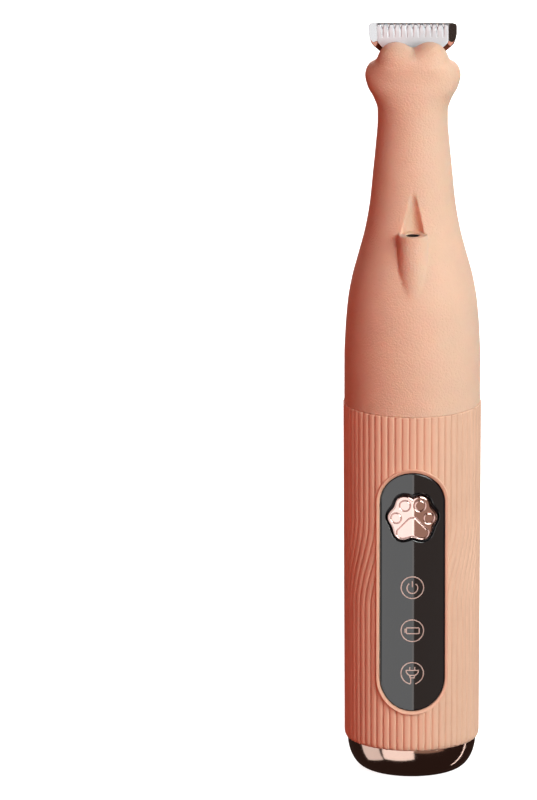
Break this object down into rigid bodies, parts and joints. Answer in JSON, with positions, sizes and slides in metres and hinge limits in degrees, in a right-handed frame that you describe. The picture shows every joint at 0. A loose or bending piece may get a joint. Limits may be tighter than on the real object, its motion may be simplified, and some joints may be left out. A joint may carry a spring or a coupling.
{
  "type": "electric pet clipper",
  "caption": "Slim cordless trimmer for paws: ribbed grip sleeve, paw-shaped head and button, work light and a narrow two-part blade driven by a motor and lever.",
  "frame": {"origin": "centre of the flat base of the end cap, which is what it stands on", "axes": "+Z along the body to the blade; -Y is the front with the control panel and the work light; the blade is wide along X"},
  "size_m": [0.0284, 0.0289, 0.1572],
  "materials": {
    "peach_shell": "soft-touch matte with a very fine leather grain",
    "peach_sleeve": "soft-touch matte, ribbed",
    "rose_plating": "polished rose-gold plating",
    "rose_plating_button": "polished rose-gold plating",
    "rose_plating_head": "polished rose-gold plating",
    "dark_plastic": "moulded black plastic",
    "lever_plastic": "natural acetal",
    "white_plastic": "moulded white plastic",
    "spring_steel": "drawn wire and strip",
    "screw_steel": "bright zinc",
    "blade_steel": "ground and polished",
    "motor_steel": "nickel plated",
    "nickel": "nickel plated",
    "black_rubber": "matte",
    "black_foam": "closed-cell foam",
    "panel_gloss": "piano black, hard coated",
    "icon_foil": "rose-gold hot foil",
    "clear_plastic": "clear moulding",
    "led_white": "clear epoxy over phosphor",
    "circuit_board": "solder mask",
    "chip_black": "moulded epoxy",
    "cell_wrap": "shrink sleeve",
    "magnet_grey": "sintered ferrite",
    "bronze": "sintered",
    "copper": "enamelled winding",
    "white_ceramic": "ground zirconia",
    "wire_red": "silicone insulation",
    "wire_black": "silicone insulation",
    "wire_white": "silicone insulation",
    "wire_yellow": "silicone insulation"
  },
  "bodies": {
    "body": {"head_housing": "peach_shell", "grip_sleeve": "peach_sleeve", "end_cap": "rose_plating", "front_chassis": "dark_plastic", "rear_chassis": "dark_plastic", "chassis_clips": "spring_steel", "seal_ring": "black_rubber", "cap_seal": "black_rubber", "panel_lens": "panel_gloss", "panel_gasket": "black_foam", "indicator_icons": "icon_foil", "light_guides": "clear_plastic", "indicator_leds": "led_white", "main_board": "circuit_board", "board_chips": "chip_black", "switch_body": "chip_black", "battery_cell": "cell_wrap", "battery_tabs": "nickel", "battery_pad": "black_foam", "charge_board": "circuit_board", "charge_port_shell": "nickel", "charge_port_tongue": "chip_black", "motor_can": "motor_steel", "motor_magnets": "magnet_grey", "motor_end_bell": "white_plastic", "motor_bushes": "bronze", "motor_screws": "screw_steel", "drive_frame": "dark_plastic", "frame_screws": "screw_steel", "lever_pin": "screw_steel", "spot_led": "led_white", "battery_wires": "wire_red", "motor_wires": "wire_black", "light_wires": "wire_white", "charge_wires": "wire_yellow"},
    "button": {"paw_button": "rose_plating_button", "button_plunger": "dark_plastic", "switch_stem": "white_plastic"},
    "rotor": {"motor_shaft": "screw_steel", "rotor_core": "copper", "eccentric_cam": "white_plastic"},
    "lever": {"drive_lever": "lever_plastic"},
    "blade_head": {"blade_carrier": "rose_plating_head", "fixed_blade": "blade_steel", "blade_spring": "spring_steel", "blade_screws": "screw_steel"},
    "cutter": {"moving_blade": "white_ceramic", "blade_follower": "lever_plastic"}
  },
  "joints": [
    {"name": "button_press", "type": "slide", "parent": "body", "child": "button", "axis": [0, 1, 0], "range_m": [0, 0.0005], "stiffness_N_per_m": 2500},
    {"name": "rotor_spin", "type": "hinge", "parent": "body", "child": "rotor", "pos_m": [0, 0, 0.095], "axis": [0, 0, 1], "continuous": true},
    {"name": "lever_swing", "type": "hinge", "parent": "body", "child": "lever", "pos_m": [0, 0, 0.126], "axis": [0, 1, 0], "range_deg": [-2.7, 2.7]},
    {"name": "head_pull", "type": "slide", "parent": "body", "child": "blade_head", "axis": [0, 0, 1], "range_m": [0, 0.012]},
    {"name": "cutter_stroke", "type": "slide", "parent": "blade_head", "child": "cutter", "axis": [1, 0, 0], "range_m": [-0.00101, 0.00101]}
  ],
  "couplings": [
    {"joint": "cutter_stroke", "follows": "lever_swing", "m_per_rad": 0.0212}
  ]
}
